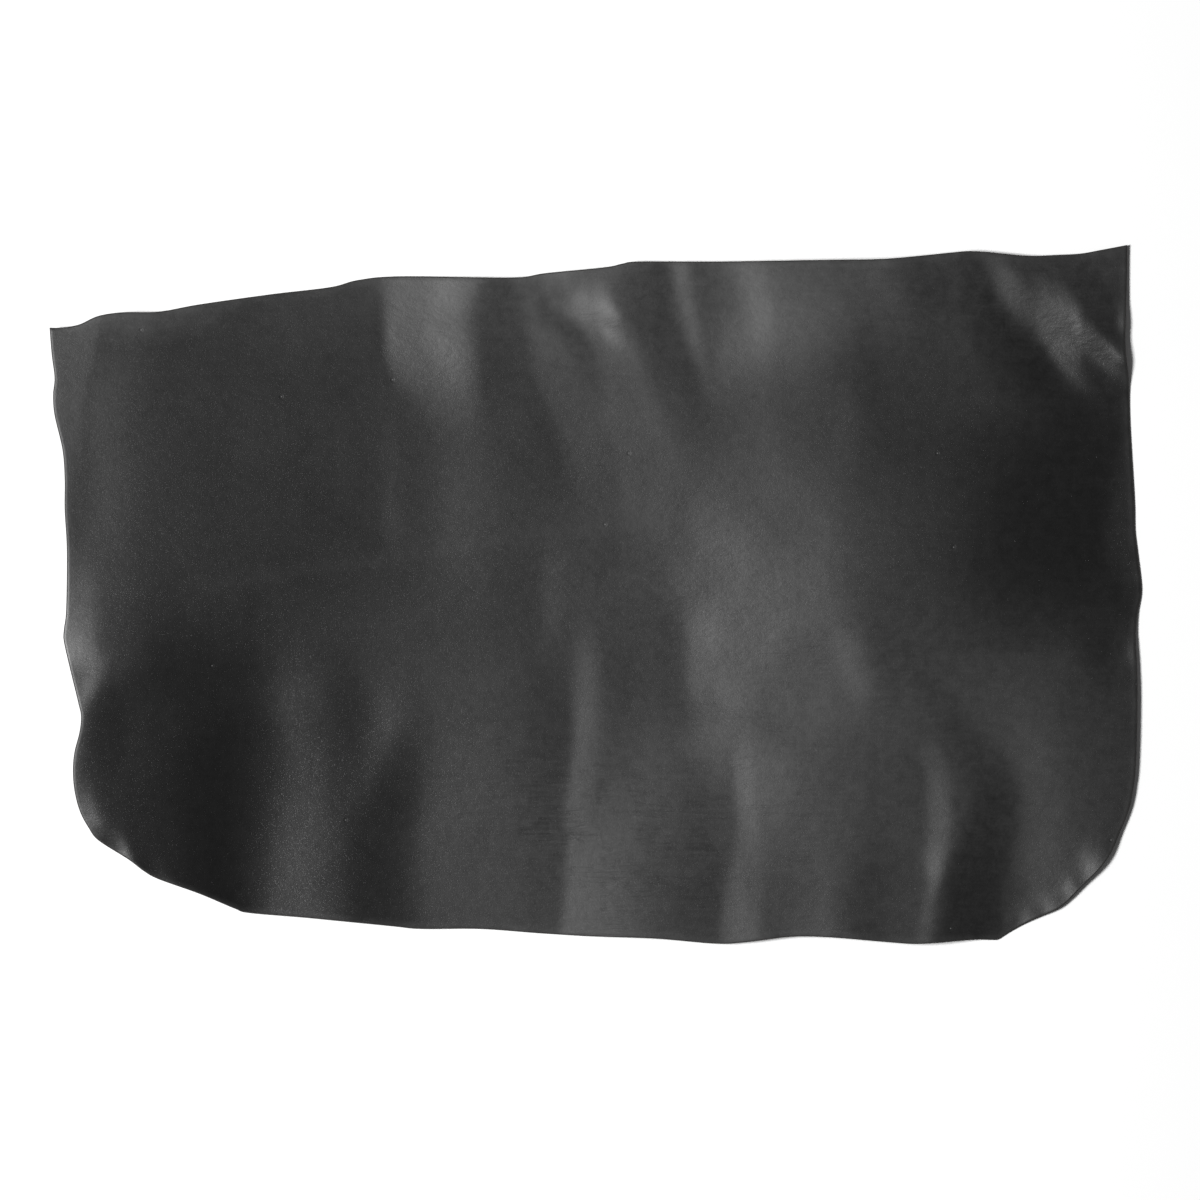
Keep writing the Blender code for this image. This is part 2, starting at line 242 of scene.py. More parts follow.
        (250, -320, 40, 0)], 12, 14, 110),
    flank("bottomRiseC", [(90, -20, 90, 0), (92, -100, 90, 2), (92, -200, 90, 2.8),
        (80, -290, 90, 1.4), (75, -360, 90, 0)], 24, 20, 200),
    flank("bottomFaceE", [(252, -165, 110, 0), (250, -225, 110, 6), (254, -290, 100, 6.4),
        (264, -350, 90, 4.8), (280, -400, 90, 4.6), (290, -500, 90, 4.6)], 16, 30, 330, 0.25),
    flank("bottomRiseF", [(400, -110, 110, 0), (402, -185, 120, 3.2), (400, -255, 120, 3.6),
        (395, -320, 110, 1.6), (390, -380, 100, 0)], 30, 30, 260),
    flank("bottomBackF", [(378, -250, 60, 0), (374, -330, 60, -1.8), (368, -400, 56, -3.4),
        (362, -500, 56, -4.4)], 22, 20, 160),
    flank("bottomFaceG", [(451, -194, 30, 0), (457, -215, 34, 2.2), (464, -233, 38, 3.9),
        (470, -252, 36, 4.4), (470, -272, 34, 4.6), (469, -292, 36, 4.4), (471, -312, 34, 4.2),
        (467, -335, 34, 3.4), (462, -368, 32, 4.8), (463, -388, 24, 3.3), (459, -405, 15, 1.6),
        (454, -440, 22, 1.6), (450, -500, 26, 2)], 6, 5, 120),
    flank("bottomBackG", [(478, -130, 60, 0), (505, -190, 50, -1), (544, -235, 50, -2.2),
        (550, -270, 56, -6), (541, -315, 66, -11), (530, -360, 78, -15), (520, -410, 82, -17),
        (512, -500, 84, -17)], 10, 18, 260),
    flank("bottomCreaseG", [(438, -75, 28, 0), (452, -105, 28, -0.8), (468, -140, 30, -1.2),
        (480, -166, 32, -1.2), (500, -192, 32, -1.2), (522, -228, 32, 0)], 7, 9, 60),
    flank("bottomStepG", [(498, -222, 34, 0), (504, -246, 34, 1.1), (506, -275, 34, 1.1),
        (502, -300, 34, 0.5), (498, -330, 34, 0)], 9, 10, 70),
    flank("bottomFaceH", [(560, -74, 160, 0), (562, -94, 160, 2.8), (569, -130, 134, 4.4),
        (589, -190, 92, 6.6), (606, -245, 72, 6.8), (614, -290, 70, 5), (615, -340, 70, 4.5),
        (610, -400, 60, 4), (600, -500, 60, 4)], 20, 24, 210),
    # ripples of the lower edges
    flank("edgeRippleL", [(-706, -245, 28, 0), (-698, -285, 30, 3.4), (-691, -315, 30, 5),
        (-686, -335, 30, 5.4), (-680, -365, 30, 5.4)], 7, 9, 80, 1),
    flank("edgeRippleM", [(-662, -326, 26, 0), (-655, -346, 26, 6), (-647, -380, 26, 7.4)],
        5, 6, 60, 1),
    flank("edgeRippleN", [(-606, -358, 26, 0), (-598, -384, 26, 2.2), (-590, -410, 26, 2.6)],
        7, 6, 50, 1),
    flank("edgeRippleA", [(684, -332, 36, 0), (686, -358, 42, 4.8), (690, -380, 44, 8.4),
        (695, -400, 40, 9), (701, -440, 36, 9)], 10, 8, 90, 0),
    flank("edgeRippleB", [(648, -384, 24, 0), (656, -408, 26, 4.4), (662, -440, 26, 5.6)],
        7, 5, 60, 0),
    flank("edgeRippleC", [(622, -416, 24, 0), (628, -434, 24, 4.2), (636, -470, 24, 5.2)],
        6, 5, 50, 0),
    flank("edgeRippleD", [(582, -426, 26, 0), (592, -446, 26, 3), (602, -485, 26, 3.6)],
        7, 5, 50, 0),
]

edgeShape = {                  # how the knife's cut is rounded: inset from the outline, and drop
    "grain": 1.5,              # the grain side stops this far inside the outline
    "shoulder": (0.5, 0.25),
    "side": (0.0, 0.8),
    "base": (0.0, 2.6),
}


def ease(share):
    # from 0 to 1, with a soft start and a soft end
    share = np.clip(share, 0, 1)
    return share * share * (3 - 2 * share)


def alongCourse(course, y):
    # where a flank is at y, how wide it is there and how far it climbs, with soft corners
    places = np.array(course, dtype=float)[::-1].T
    steps = hide["courseSteps"]
    return [sum(np.interp(y + step, places[1], values) for step in steps) / len(steps)
            for values in (places[0], places[2], places[3])]


def splineShares(t):
    # how much each of four knots in a row counts at t, between the two in the middle
    return ((1 - t) ** 3 / 6, (3 * t ** 3 - 6 * t ** 2 + 4) / 6,
            (3 * t + 3 * t ** 2 - 3 * t ** 3 + 1) / 6, t ** 3 / 6)


def unevenness(kinds, x, y):
    # soft hills and hollows that don't repeat, of each length and height in turn
    knots, askew = hide["swellKnots"], hide["swellAskew"]
    heights = np.random.default_rng(hide["swellSeed"]).uniform(-2, 2, (knots, knots))
    total = 0
    for length, size in kinds:
        column = (x + askew * y) / length + knots / 2
        row = (y - askew * x) / length + knots / 2
        for i, columnShare in enumerate(splineShares(column % 1)):
            for j, rowShare in enumerate(splineShares(row % 1)):
                knot = heights[row.astype(int) + j - 1, column.astype(int) + i - 1]
                total = total + size * knot * rowShare * columnShare
    return total


def flankHeight(fold, x, y):
    # what one flank adds to the height, from how far each place is aside of its course
    middle, width, rise = alongCourse(fold.course, y)
    (topX, topY), (footX, footY) = fold.course[0][:2], fold.course[-1][:2]
    aside = (x - middle) * (topY - footY) / np.hypot(footX - topX, footY - topY)
    left = np.hypot(aside + width / 2, fold.leftBend)
    right = np.hypot(aside - width / 2, fold.rightBend)
    climb = (left - right) / width / 2 + 0.5 - fold.hold
    return rise * climb * ease(1 - np.abs(aside) / fold.reach)


def undersideHeight(x, y):
    # the lie, its swells and every flank, and flat on the floor where that would be below it
    end = x / hide["halfLength"]
    height = hide["lieHeight"] + np.where(x < 0, hide["leftCurl"], -hide["rightDroop"]) * end * end
    height = height + unevenness(hide["swells"], x, y)
    strayed = x + unevenness(hide["wander"], x, y)
    for fold in folds:
        height = height + flankHeight(fold, strayed, y)
    soft = hide["settle"]
    settled = (height + soft) ** 2 / (4 * soft)
    return np.where(height > soft, height, np.where(height > -soft, settled, 0))


finish = {
    "roughness": 0.374,    # of the whole hide, before what follows is added
    # the leather's own dark tone, before the patches add painted sheen and painted shade to it
    "toneAndPaintedLight": 0.0055,
    "rimWidth": 15.0,      # the edge is duller over this, and paler as a painted highlight
    "creaseEnds": 60.0,    # a pressed line fades in and out over this at its ends
    "creaseStep": 6.0,     # its sharp side is this many times narrower than its soft one
}

# How the finish varies, and where light is painted: where the hide is duller than elsewhere, and
# where its tone is raised as painted sheen, or lowered as painted shade where that is below zero;
# the raised tone is partly painted sheen and partly the finish's own cloudiness. Half of it is left
# at width and depth from the middle of the patch.
patch = namedtuple("patch", "name x y width depth duller paler")

finishAndPaintedLightPatches = [
    patch("middle", 150, -70, 340, 260, 0.035, 0.005),
    patch("topMiddle", 130, 390, 290, 190, 0.038, 0.0055),
    # a painted highlight along the top edge
    patch("topBand", 220, 470, 660, 130, 0.052, 0.0098),
    patch("bottomMiddle", 40, -380, 290, 170, 0.03, 0.005),
    patch("lowerRight", 500, -225, 250, 185, 0.060, 0.0098),
    patch("knuckles", 20, 385, 115, 110, 0.022, 0.003),
    patch("corner", 600, 340, 140, 100, 0.012, 0.004),
    patch("topLeft", -615, 398, 100, 42, 0.045, 0.013),
    patch("leftMiddle", -520, 80, 230, 170, -0.014, -0.0024),
    patch("lowerEdge", 400, -480, 420, 60, 0.02, 0.004),
    patch("rightEnd", 650, 120, 130, 230, -0.025, 0),
    patch("leftOfMiddle", -150, 5, 110, 100, -0.018, -0.001),
    patch("rump", -480, -310, 250, 240, -0.05, -0.003),
]

# Old fold lines, pressed flat. The finish is duller beside them, or glossier where duller is below
# zero, on the side where y is higher, or lower where reach is below zero, and fades over reach.
crease = namedtuple("crease", "name course reach duller")

creases = [
    crease("across", [(-560, 6), (-503, 13), (-270, 47), (-132, 68), (60, 88), (110, 92)],
        26, 0.023),
    crease("acrossMiddle", [(-70, 84), (10, 98), (60, 95), (130, 97)], 60, 0.03),
    crease("rightEnd", [(440, -80), (500, -82), (650, -81), (690, -78)], -34, 0.032),
    crease("rightEndAbove", [(470, -79), (540, -80), (650, -79), (700, -76)], 40, -0.012),
]

# Spots where something shows more than elsewhere, each with its share.
spot = namedtuple("spot", "x y width depth share")

wrinkleSpots = [           # fine growth wrinkles, most of all low in the middle
    spot(45, -350, 130, 120, 1.0),
    spot(-110, -280, 110, 90, 0.8),
    spot(250, -330, 110, 120, 0.6),
    spot(230, -60, 190, 170, 0.6),
    spot(20, 300, 160, 120, 0.3),
]
coarseSpots = [            # looser leather, with a coarser grain
    spot(630, 380, 70, 80, 0.48),
    spot(215, 385, 70, 90, 0.1),
    spot(475, -300, 40, 110, 0.15),
    spot(680, -385, 60, 50, 0.3),
    spot(-205, 380, 90, 110, 0.12),
    spot(230, -90, 170, 160, 0.1),
    spot(5, 395, 80, 60, 0.05),
    spot(240, -320, 120, 130, 0.06),
    spot(20, 60, 200, 160, 0.15),
    spot(692, 338, 34, 40, 0.3),
]


def nearness(place, x, y):
    # 1 round the middle of a patch or spot, half at its width and depth, and 0 further out
    return ease(1.5 - np.hypot((x - place.x) / place.width, (y - place.y) / place.depth))


def creaseDullness(line, x, y):
    places = np.array(line.course, dtype=float).T
    beyond = (y - np.interp(x, *places)) / line.reach
    ends = finish["creaseEnds"]
    alongLine = ease((x - places[0, 0]) / ends) * ease((places[0, -1] - x) / ends)
    soft, sharp = ease(1 - beyond), ease(1 + finish["creaseStep"] * beyond)
    return line.duller * alongLine * np.where(beyond > 0, soft, sharp)


def roughness(x, y):
    pressed = sum(creaseDullness(line, x, y) for line in creases)
    return finish["roughness"] + pressed + sum(p.duller * nearness(p, x, y) for p in finishAndPaintedLightPatches)


def toneAndPaintedLight(x, y):
    # the tone, raised by painted sheen in some patches and lowered by painted shade in others
    return finish["toneAndPaintedLight"] + sum(p.paler * nearness(p, x, y) for p in finishAndPaintedLightPatches)


def spotted(spots, x, y):
    return sum(p.share * nearness(p, x, y) for p in spots)


def smoothEdge(before, points, after, count):
    # a smooth curve through the points, cut into count even steps
    knots = np.array([before] + points + after, dtype=float)
    curve = []
    for start, first, last, end in zip(knots, knots[1:], knots[2:], knots[3:]):
        for t in np.linspace(0, 1, hide["curveSteps"], endpoint=False):
            lean = (last - start) * t + (2 * start - 5 * first + 4 * last - end) * t * t
            curve.append(first + (lean + (3 * first - start - 3 * last + end) * t ** 3) / 2)
    curve = np.array(curve + [knots[-2]])
    steps = np.append(0, np.cumsum(np.linalg.norm(np.diff(curve, axis=0), axis=1)))
    places = np.linspace(0, steps[-1], count + 1)
    return np.stack([np.interp(places, steps, curve[:, axis]) for axis in (0, 1)], -1)


def hideOutline():
    # the outline as one closed loop, with even steps along each edge, starting top left
    columns, rows = hide["columns"], hide["rows"]
    edges = [
        smoothEdge(topEdge[0], topEdge, [rightEdge[0]] * 2, columns),
        smoothEdge(rightEdge[0], rightEdge, bottomEdge[:2], rows),
        smoothEdge(rightEdge[-1], bottomEdge, leftEdge[:2], columns),
        smoothEdge(bottomEdge[-1], leftEdge, [topEdge[0]] * 2, rows),
    ]
    return np.concatenate([edge[:-1] for edge in edges])


def insetLoop(loop, inset):
    # the loop, moved inward by inset
    ahead = np.roll(loop, -1, axis=0) - np.roll(loop, 1, axis=0)
    inward = np.stack([ahead[:, 1], -ahead[:, 0]], -1)
    return loop + inset * inward / np.linalg.norm(inward, axis=1, keepdims=True)


def fillGrid(loop):
    # spans the loop with rows and columns that follow its four edges
    columns, rows = hide["columns"], hide["rows"]
    corners = [0, columns, columns + rows, 2 * columns + rows, len(loop)]
    ring = np.vstack([loop, loop[:1]])
    top, right, bottom, left = [ring[a:b + 1] for a, b in zip(corners, corners[1:])]
    bottom, left = bottom[::-1], left[::-1]
    u = np.linspace(0, 1, columns + 1)[None, :, None]
    v = np.linspace(0, 1, rows + 1)[:, None, None]
    across = (1 - v) * top[None] + v * bottom[None]
    down = (1 - u) * left[:, None] + u * right[:, None]
    square = (1 - u) * (1 - v) * top[0] + u * (1 - v) * top[-1]
    square = square + (1 - u) * v * bottom[0] + u * v * bottom[-1]
    return across + down - square


def gridFaces(first, flip):
    # the faces of one side, and its border in the order of the outline
    columns, rows = hide["columns"], hide["rows"]
    index = first + np.arange((rows + 1) * (columns + 1)).reshape(rows + 1, columns + 1)
    corners = [index[:-1, :-1], index[1:, :-1], index[1:, 1:], index[:-1, 1:]]
    quads = np.stack(corners[::-1] if flip else corners, -1).reshape(-1, 4)
    border = [index[0, :-1], index[:-1, -1], index[-1, :0:-1], index[:0:-1, 0]]
    return quads, np.concatenate(border)


def markLeather(data, points):
    # what the grain side's nodes read at each point: the grain side's own points come first
    x, y = points[:, 0], points[:, 1]
    rows, columns = np.mgrid[0:hide["rows"] + 1, 0:hide["columns"] + 1]
    inFromEdge = np.minimum(np.minimum(rows, rows[::-1]) * hide["rowStep"],
                            np.minimum(columns, columns[:, ::-1]) * hide["columnStep"])
    rim = np.ones(len(points))
    rim[:inFromEdge.size] = ease(1 - inFromEdge.ravel() / finish["rimWidth"])
    marks = {
        "dullness": roughness(x, y),
        "toneAndPaintedLight": toneAndPaintedLight(x, y),
        "rim": rim,
        "wrinkled": spotted(wrinkleSpots, x, y),
        "coarse": spotted(coarseSpots, x, y),
    }
    for name, values in marks.items():
        layer = data.attributes.new(name, "FLOAT", "POINT")
        layer.data.foreach_set("value", values.astype(np.float32))


def makeHide():
    # both sides on one grid, and the cut edge between them
    outline = hideOutline()
    grid = fillGrid(insetLoop(outline, edgeShape["grain"]))
    x, y = grid[..., 0], grid[..., 1]
    under = undersideHeight(x, y)
    over = under + hide["thickness"]
    points = [np.stack([x, y, z], -1).reshape(-1, 3) for z in (over, under)]
    grainFaces, grainBorder = gridFaces(0, False)
    fleshFaces, fleshBorder = gridFaces(x.size, True)

    # the cut edge goes down in bands from the grain side to the flesh side
    loops = [grainBorder]
    first = 2 * x.size
    for part in ("shoulder", "side", "base"):
        inset, drop = edgeShape[part]
        ring = insetLoop(outline, inset)
        height = undersideHeight(ring[:, 0], ring[:, 1]) + hide["thickness"] - drop
        points.append(np.column_stack([ring, height]))
        loops.append(first + np.arange(len(ring)))
        first += len(ring)
    loops.append(fleshBorder)
    edgeFaces = np.concatenate([np.stack([a, np.roll(a, -1), np.roll(b, -1), b], -1)
                                for a, b in zip(loops, loops[1:])])

    points = np.concatenate(points)
    faces = np.concatenate([grainFaces, fleshFaces, edgeFaces])
    data = bpy.data.meshes.new("hide")
    data.from_pydata((points * mm).tolist(), [], faces.tolist())
    data.polygons.foreach_set("use_smooth", np.ones(len(faces), dtype=bool))
    materials = np.repeat([0, 1, 2], [len(grainFaces), len(fleshFaces), len(edgeFaces)])
    data.polygons.foreach_set("material_index", materials.astype(np.int32))
    data.update()
    markLeather(data, points)
    sheet = bpy.data.objects.new("hideSheet", data)
    bpy.context.collection.objects.link(sheet)
    return sheet


# A pattern is a noise with so many to the metre and its detail, roughness and distortion. Along
# each axis it is drawn out where stretch is below 1 and pressed together above, and then turned.
pattern = namedtuple("pattern", "perMetre detail rough bend stretch turn",
                     defaults=(0.0, None, 0.0))


class Surface:
    # a Principled material, and short ways to add nodes to it
    def __init__(self, name, dimensions="3D"):
        self.dimensions = dimensions
        self.material = bpy.data.materials.new(name)
        self.material.use_nodes = True
        self.tree = self.material.node_tree
        self.shader = self.tree.nodes["Principled BSDF"]
        self.places = self.node("ShaderNodeTexCoord").outputs["Object"]

    def node(self, kind, **values):
        made = self.tree.nodes.new(kind)
        for name, value in values.items():
            setattr(made, name, value)
        return made

    def set(self, socket, value):
        if isinstance(value, bpy.types.NodeSocket):
            self.tree.links.new(value, socket)
        else:
            socket.default_value = value

    def math(self, operation, first, second=0.0, third=0.0):
        made = self.node("ShaderNodeMath", operation=operation)
        for socket, value in zip(made.inputs, (first, second, third)):
            self.set(socket, value)
        return made.outputs[0]

    def times(self, first, second):
        return self.math("MULTIPLY", first, second)

    def add(self, *values):
        total = values[0]
        for value in values[1:]:
            total = self.math("ADD", total, value)
        return total

    def stretched(self, stretch, turn):
        made = self.node("ShaderNodeMapping")
        self.set(made.inputs["Vector"], self.places)
        made.inputs["Scale"].default_value = (*stretch, 1.0)[:3]
        made.inputs["Rotation"].default_value = (0, 0, turn)
        return made.outputs[0]

    def bent(self, perMetre, reach):
        # the places, each pushed aside a little by a noise
        push = self.node("ShaderNodeTexNoise", noise_dimensions=self.dimensions)
        self.set(push.inputs["Vector"], self.places)
        push.inputs["Scale"].default_value = perMetre
        made = self.node("ShaderNodeVectorMath", operation="MULTIPLY_ADD")
        self.set(made.inputs[0], push.outputs["Color"])
        made.inputs[1].default_value = (reach, reach, reach)
        self.set(made.inputs[2], self.places)
        return made.outputs[0]

    def noise(self, kind):
        places = self.stretched(kind.stretch, kind.turn) if kind.stretch else self.places
        made = self.node("ShaderNodeTexNoise", noise_dimensions=self.dimensions)
        self.set(made.inputs["Vector"], places)
        made.inputs["Scale"].default_value = kind.perMetre
        made.inputs["Detail"].default_value = kind.detail
        made.inputs["Roughness"].default_value = kind.rough
        made.inputs["Distortion"].default_value = kind.bend
        return made.outputs["Fac"]

    def cells(self, perMetre, spread=1.0, places=None, feature="F1"):
        made = self.node("ShaderNodeTexVoronoi", voronoi_dimensions=self.dimensions,
                         feature=feature)
        self.set(made.inputs["Vector"], places or self.places)
        made.inputs["Scale"].default_value = perMetre
        made.inputs["Randomness"].default_value = spread
        return made

    def draw(self, cells, shuffle, picked):
        # 1 in the cells that chance picks, and 0 in the others
        chance = self.math("FRACT", self.times(cells.outputs["Color"], shuffle))
        return self.ramp(chance, *picked)

    def dots(self, cells, size, drawn):
        # a dot in the middle of each drawn cell, full up to the second size and gone at the first
        return self.times(self.ramp(cells.outputs["Distance"], *size), drawn)

    def ramp(self, value, low, high, bottom=0.0, top=1.0):
        made = self.node("ShaderNodeMapRange", interpolation_type="SMOOTHSTEP")
        for name, number in (("Value", value), ("From Min", low), ("From Max", high),
                             ("To Min", bottom), ("To Max", top)):
            self.set(made.inputs[name], number)
        return made.outputs[0]

    def kept(self, name):
        # what the mesh holds under that name
        return self.node("ShaderNodeAttribute", attribute_name=name).outputs["Fac"]

    def swing(self, value, size):
        # a noise from 0 to 1, turned into plus or minus size
        return self.math("MULTIPLY_ADD", value, 2 * size, -size)

    def ridges(self, value, width):
        # 1 along the lines where a noise is at its middle value, and 0 beyond width
        return self.ramp(self.math("ABSOLUTE", self.swing(value, 1.0)), width, 0.0)

    def varied(self, tone, value, low, high, size):
        # the tone, darker or lighter by up to size as the value goes from low to high
        return self.times(tone, self.ramp(value, low, high, 1 - size, 1 + size))

    def darkened(self, tone, value, size):
        # the tone, darker by size where the value is 1
        return self.times(tone, self.math("SUBTRACT", 1.0, self.times(value, size)))

    def bump(self, height, depth, under=None):
        made = self.node("ShaderNodeBump")
        made.inputs["Strength"].default_value = 1.0
        made.inputs["Distance"].default_value = depth
        self.set(made.inputs["Height"], height)
        if under:
            self.set(made.inputs["Normal"], under)
        return made.outputs[0]

    def grey(self, value, tint=(1.0, 1.0, 1.0)):
        made = self.node("ShaderNodeCombineColor")
        for socket, share in zip(made.inputs, tint):
            self.set(socket, value if share == 1 else self.times(value, share))
        return made.outputs[0]


grain = {
    "speck": pattern(290.0, 3.0, 0.6),
    "mottle": pattern(62.0, 4.0, 0.55, 0.4),
    "cloud": pattern(8.0, 5.0, 0.6, 1.2, (0.7, 1.0)),
    "brush": pattern(70.0, 4.0, 0.6, 0.5, (0.35, 3.0), 0.03),
    "brushPatches": pattern(26.0, 3.0, 0.6, 0.5, (0.6, 1.0)),
    "rimPatches": pattern(30.0, 3.0, 0.5),
    "wrinkleLines": pattern(40.0, 1.5, 0.5, 0.3, (0.22, 3.2), 0.03),
    "wrinkleEnds": pattern(22.0, 1.0, 0.5),
    "wrinkleWidth": 0.34,
    "pebble": pattern(95.0, 4.0, 0.68, 0.0, (0.55, 1.0)),
    "pores": 430.0,              # places for one in each metre
    "poreShuffle": 7.0,
    "poresPicked": (0.62, 0.64), # the places whose chance is above these have one
    "poreSize": (0.24, 0.10),    # as shares of the distance between two places
    "cells": 560.0,              # the finest grain, so many in each metre
    "cellSpread": 0.9,           # how unevenly they stand
    "cellPush": (180.0, 0.0012), # a noise of so many to the metre bends them, by so many metres
    "cellGap": 0.22,             # how wide the dips between them are
    "nicks": 12.0,               # as for the pores
    "nickShuffle": 5.0,
    "nicksPicked": (0.94, 0.95),
    "nickCore": (0.014, 0.006),
    "nickRing": (0.045, 0.024),
    "speckGloss": 0.010,         # how far each moves the roughness
    "mottleGloss": 0.012,
    "cloudGloss": 0.022,
    "brushGloss": 0.006,
    "streakGloss": 0.045,        # the brush marks' own, where there are wrinkles
    "rimGloss": 0.036,
    "poreGloss": -0.03,
    "wrinkleGloss": -0.018,
    "mottleTone": 0.25,          # how far each moves the tone, as a share of it
    "speckTone": 0.15,
    "brushTone": 0.08,
    "porePaintedShade": 0.6,
    "wrinklePaintedShade": 0.18,
    "rimPaintedHighlight": 0.010,            # and what these add to it
    "nickPale": 0.10,
    "pebbleDepth": 0.00019,      # in metres
    "coarseDepth": 0.00052,
    "cellDepth": 0.000022,
    "poreDepth": 0.00005,
    "wrinkleDepth": 0.00010,
    "nickDepth": 0.0001,
    "specular": 0.5,
}


def grainLeather():
    # the smooth grain side: fine pebble, hair pores, cloudy polish, and a duller rim
    # with a painted highlight along it
    s = Surface("grainLeather", "2D")
    speck, mottle, cloud = (s.noise(grain[name]) for name in ("speck", "mottle", "cloud"))
    brush = s.noise(grain["brush"])
    brushPatches = s.noise(grain["brushPatches"])
    # the rim's dullness and its painted highlight, broken into patches
    rim = s.times(s.kept("rim"), s.ramp(s.noise(grain["rimPatches"]), 0.25, 0.7, 0.3, 1.0))

    poreCells = s.cells(grain["pores"])
    poresDrawn = s.draw(poreCells, grain["poreShuffle"], grain["poresPicked"])
    pores = s.dots(poreCells, grain["poreSize"], poresDrawn)
    cells = s.cells(grain["cells"], grain["cellSpread"], s.bent(*grain["cellPush"]),
                    "DISTANCE_TO_EDGE")
    cellTops = s.ramp(cells.outputs["Distance"], 0.0, grain["cellGap"])

    # growth wrinkles run along the hide, long, low and fine
    lines = s.ridges(s.noise(grain["wrinkleLines"]), grain["wrinkleWidth"])
    wrinkles = s.times(lines, s.ramp(s.noise(grain["wrinkleEnds"]), 0.45, 0.6))
    wrinkles = s.times(wrinkles, s.kept("wrinkled"))

    # tiny pale nicks in a dark ring, a few to the square metre
    nickCells = s.cells(grain["nicks"])
    nicksDrawn = s.draw(nickCells, grain["nickShuffle"], grain["nicksPicked"])
    nicks = s.dots(nickCells, grain["nickCore"], nicksDrawn)
    nickRings = s.dots(nickCells, grain["nickRing"], nicksDrawn)

    brushGloss = s.math("MULTIPLY_ADD", s.kept("wrinkled"), grain["streakGloss"],
                        grain["brushGloss"])
    brushGloss = s.times(s.swing(brush, 1.0), brushGloss)
    s.set(s.shader.inputs["Roughness"], s.add(
        s.kept("dullness"),
        s.swing(speck, grain["speckGloss"]),
        s.swing(mottle, grain["mottleGloss"]),
        s.swing(cloud, grain["cloudGloss"]),
        s.times(brushGloss, s.ramp(brushPatches, 0.35, 0.62, 0.35, 1.6)),
        s.times(rim, grain["rimGloss"]),
        s.times(pores, grain["poreGloss"]),
        s.times(wrinkles, grain["wrinkleGloss"])))

    # the tone carries the painted sheen and painted shade of the patches
    tone = s.varied(s.kept("toneAndPaintedLight"), mottle, 0.2, 0.8, grain["mottleTone"])
    tone = s.varied(tone, speck, 0.25, 0.75, grain["speckTone"])
    tone = s.varied(tone, brush, 0.25, 0.75, grain["brushTone"])
    # a painted highlight along the edge, and the pale nicks
    tone = s.add(tone, s.times(rim, grain["rimPaintedHighlight"]), s.times(nicks, grain["nickPale"]))
    # painted shade in the pores
    tone = s.darkened(tone, pores, grain["porePaintedShade"])
    # painted shade in the wrinkles
    tone = s.darkened(tone, wrinkles, grain["wrinklePaintedShade"])
    s.set(s.shader.inputs["Base Color"], s.grey(tone))

    depth = s.math("MULTIPLY_ADD", s.kept("coarse"), grain["coarseDepth"], grain["pebbleDepth"])
    relief = s.add(
        s.times(s.noise(grain["pebble"]), depth),
        s.times(cellTops, grain["cellDepth"]),
        s.times(pores, -grain["poreDepth"]),
        s.times(wrinkles, -grain["wrinkleDepth"]),
        s.times(nickRings, -grain["nickDepth"]))
    s.set(s.shader.inputs["Normal"], s.bump(relief, 1.0))
    s.shader.inputs["Specular IOR Level"].default_value = grain["specular"]
    return s.material


flesh = {
    "nap": pattern(1100.0, 4.0, 0.7, 1.5),
    "strands": pattern(170.0, 5.0, 0.68, 4.0, (1.0, 2.4), 0.5),
    "swirls": pattern(60.0, 4.0, 0.62, 3.0),
    "patches": pattern(11.0, 4.0, 0.6, 0.8),
    "veins": pattern(7.0, 3.0, 0.55, 1.0),
    "veinWidth": 0.05,
    "tone": (0.008, 0.044),      # between the strands, and on them
    "tint": (1.0, 0.92, 0.84),
    "patchTone": 0.4,            # how far each moves the tone, as a share of it
    "swirlTone": 0.28,
    "napTone": 0.25,
    "veinTone": 0.7,             # what is left of the tone in a vein
    "roughness": (0.86, 0.98),
    "swirlDepth": 0.002,         # in metres
    "veinDepth": 0.0006,
    "strandDepth": 0.0014,
    "napDepth": 0.0006,
    "sheen": 0.12,
    "sheenRoughness": 0.6,
}


def fleshSide():
    # the napped back: short fibres that lie in all directions, matt and uneven in depth
    s = Surface("fleshSide")
    nap, strands, swirls = (s.noise(flesh[name]) for name in ("nap", "strands", "swirls"))
    patches = s.noise(flesh["patches"])
    veins = s.ridges(s.noise(flesh["veins"]), flesh["veinWidth"])

    tone = s.ramp(strands, 0.3, 0.72, *flesh["tone"])
    tone = s.varied(tone, patches, 0.3, 0.7, flesh["patchTone"])
    tone = s.varied(tone, swirls, 0.3, 0.7, flesh["swirlTone"])
    tone = s.varied(tone, nap, 0.3, 0.7, flesh["napTone"])
    tone = s.times(tone, s.ramp(veins, 0.0, 1.0, 1.0, flesh["veinTone"]))
    s.set(s.shader.inputs["Base Color"], s.grey(tone, flesh["tint"]))
    s.set(s.shader.inputs["Roughness"], s.ramp(nap, 0.2, 0.8, *flesh["roughness"]))

    relief = s.bump(swirls, flesh["swirlDepth"])
    relief = s.bump(s.times(veins, -1.0), flesh["veinDepth"], relief)
    relief = s.bump(strands, flesh["strandDepth"], relief)
    s.set(s.shader.inputs["Normal"], s.bump(nap, flesh["napDepth"], relief))
    s.shader.inputs["Sheen Weight"].default_value = flesh["sheen"]
    s.shader.inputs["Sheen Roughness"].default_value = flesh["sheenRoughness"]
    return s.material


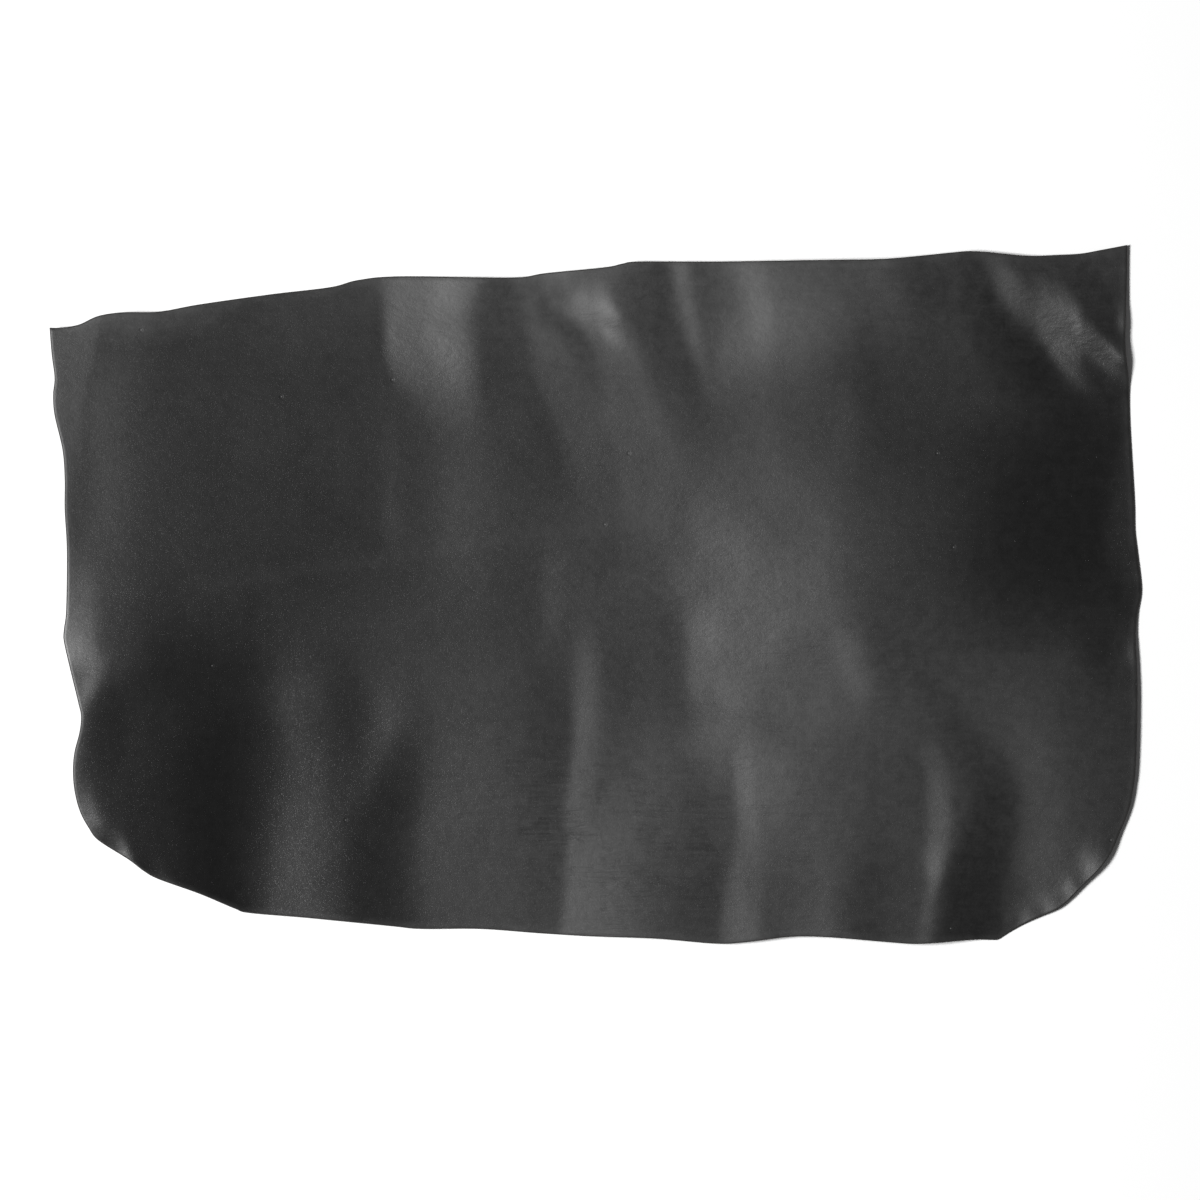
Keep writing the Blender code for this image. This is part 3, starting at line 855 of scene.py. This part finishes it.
cut = {
    "fibre": pattern(700.0, 4.0, 0.7, 0.5, (1.0, 1.0, 4.0)),
    "layers": pattern(90.0, 3.0, 0.6, 0.8, (0.3, 0.3, 12.0)),
    "tone": (0.005, 0.022),
    "layerTone": (0.8, 1.3),
    "tint": (1.0, 0.92, 0.84),
    "roughness": (0.62, 0.85),
    "layerDepth": 0.0003,
    "fibreDepth": 0.0002,
}


def cutEdge():
    # the knife's cut: close fibre in fine layers, dyed through
    s = Surface("cutEdge")
    fibre, layers = s.noise(cut["fibre"]), s.noise(cut["layers"])
    tone = s.ramp(fibre, 0.25, 0.8, *cut["tone"])
    tone = s.times(tone, s.ramp(layers, 0.3, 0.7, *cut["layerTone"]))
    s.set(s.shader.inputs["Base Color"], s.grey(tone, cut["tint"]))
    s.set(s.shader.inputs["Roughness"], s.ramp(fibre, 0.2, 0.8, *cut["roughness"]))
    relief = s.bump(layers, cut["layerDepth"])
    s.set(s.shader.inputs["Normal"], s.bump(fibre, cut["fibreDepth"], relief))
    return s.material


studio = {
    "lightPlace": (-6.71, 0.0, 9.95),     # metres, as the other sizes here are
    "lightSide": 3.0,
    "lightPower": 2025.0,
    "fill": 0.1,
    "viewCentre": (0.0055, -0.0079),
    "viewWidth": 1.65,
    "lens": 250.0,         # but these two are in millimetres
    "sensor": 36.0,
    "floorHalf": 6.0,      # from its middle to each side
    "floorColour": (0.88, 0.88, 0.88, 1),
    "floorRoughness": 0.9,
}


def setStudio():
    world = bpy.data.worlds.new("studio")
    world.use_nodes = True
    sky = world.node_tree.nodes["Background"]
    sky.inputs["Color"].default_value = (1, 1, 1, 1)
    sky.inputs["Strength"].default_value = studio["fill"]
    bpy.context.scene.world = world

    light = bpy.data.lights.new("softKey", "AREA")
    light.shape = "SQUARE"
    light.size = studio["lightSide"]
    light.energy = studio["lightPower"]
    lamp = bpy.data.objects.new("softKey", light)
    lamp.location = studio["lightPlace"]
    lamp.rotation_euler = (-lamp.location).to_track_quat("-Z", "Y").to_euler()
    bpy.context.collection.objects.link(lamp)

    camera = bpy.data.cameras.new("camera")
    camera.lens = studio["lens"]
    camera.sensor_width = studio["sensor"]
    view = bpy.data.objects.new("camera", camera)
    away = studio["viewWidth"] * studio["lens"] / studio["sensor"]
    view.location = (*studio["viewCentre"], away)      # straight above, looking down
    bpy.context.collection.objects.link(view)
    bpy.context.scene.camera = view
    bpy.context.scene.view_settings.view_transform = "Standard"


def makeFloor():
    data = bpy.data.meshes.new("floor")
    half = studio["floorHalf"]
    corners = [(-half, -half, 0), (half, -half, 0), (half, half, 0), (-half, half, 0)]
    data.from_pydata(corners, [], [(0, 1, 2, 3)])
    floor = bpy.data.objects.new("floor", data)
    bpy.context.collection.objects.link(floor)
    s = Surface("paleFloor")
    s.shader.inputs["Base Color"].default_value = studio["floorColour"]
    s.shader.inputs["Roughness"].default_value = studio["floorRoughness"]
    data.materials.append(s.material)


print("the hide")
sheet = makeHide()

print("the leather")
for make in (grainLeather, fleshSide, cutEdge):
    sheet.data.materials.append(make())
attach(sheet, "root")
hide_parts("hide")

print("the studio")
makeFloor()
setStudio()
